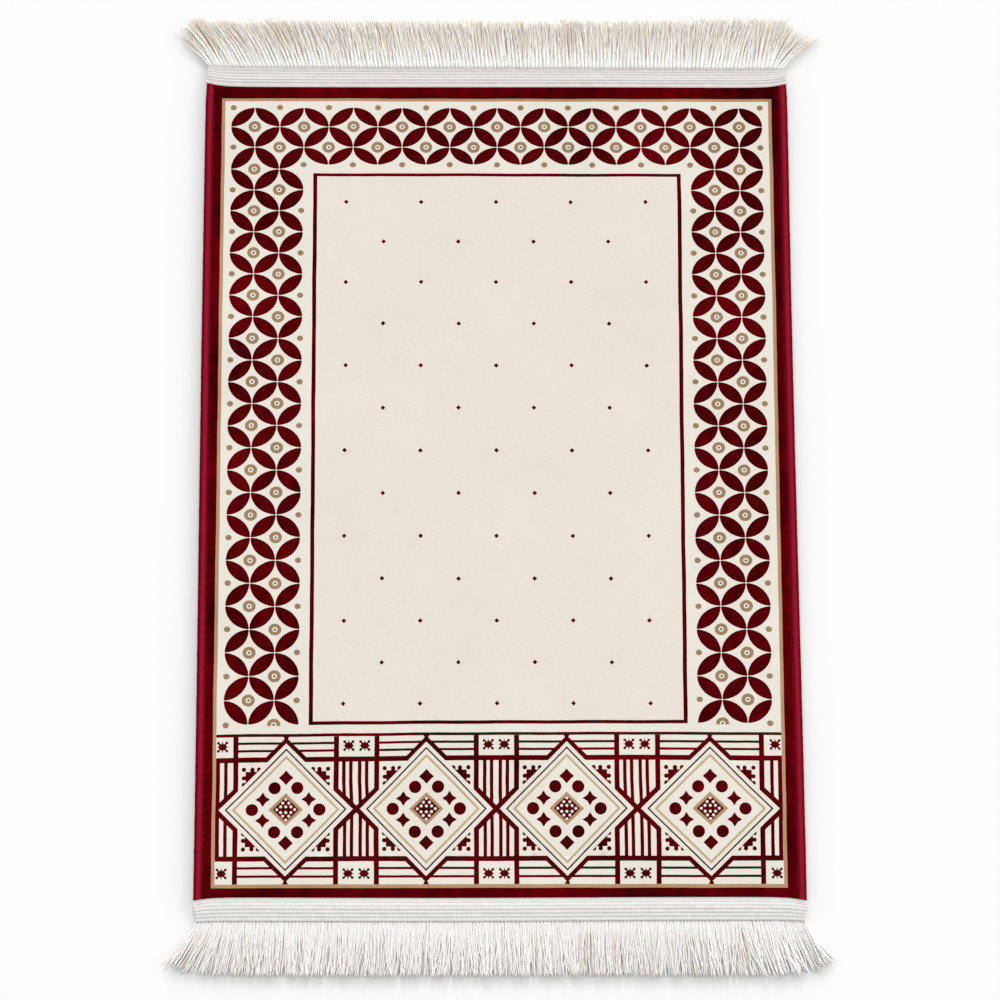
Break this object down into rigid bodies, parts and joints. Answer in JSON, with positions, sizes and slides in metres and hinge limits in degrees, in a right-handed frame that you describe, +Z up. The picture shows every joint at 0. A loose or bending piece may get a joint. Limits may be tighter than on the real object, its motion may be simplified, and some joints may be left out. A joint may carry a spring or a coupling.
{
  "type": "prayer rug",
  "caption": "Flat velvet-pile prayer rug with whipped side edges and a fringed woven tape at each end, lying on the floor.",
  "frame": {"origin": "centre of the rug's underside, on the floor", "axes": "+Z up out of the pile; +Y along the rug's length, from the near fringe to the far fringe; +X to the right"},
  "size_m": [0.7626, 1.1438, 0.0066],
  "materials": {
    "velvet_pile": "matt cut pile",
    "binding_yarn": "satin yarn",
    "fringe_cotton": "matt cotton"
  },
  "bodies": {
    "root": {"rug_cloth": "velvet_pile", "edge_binding_left": "binding_yarn", "edge_binding_right": "binding_yarn", "fringe_far": "fringe_cotton", "fringe_near": "fringe_cotton"}
  },
  "joints": []
}
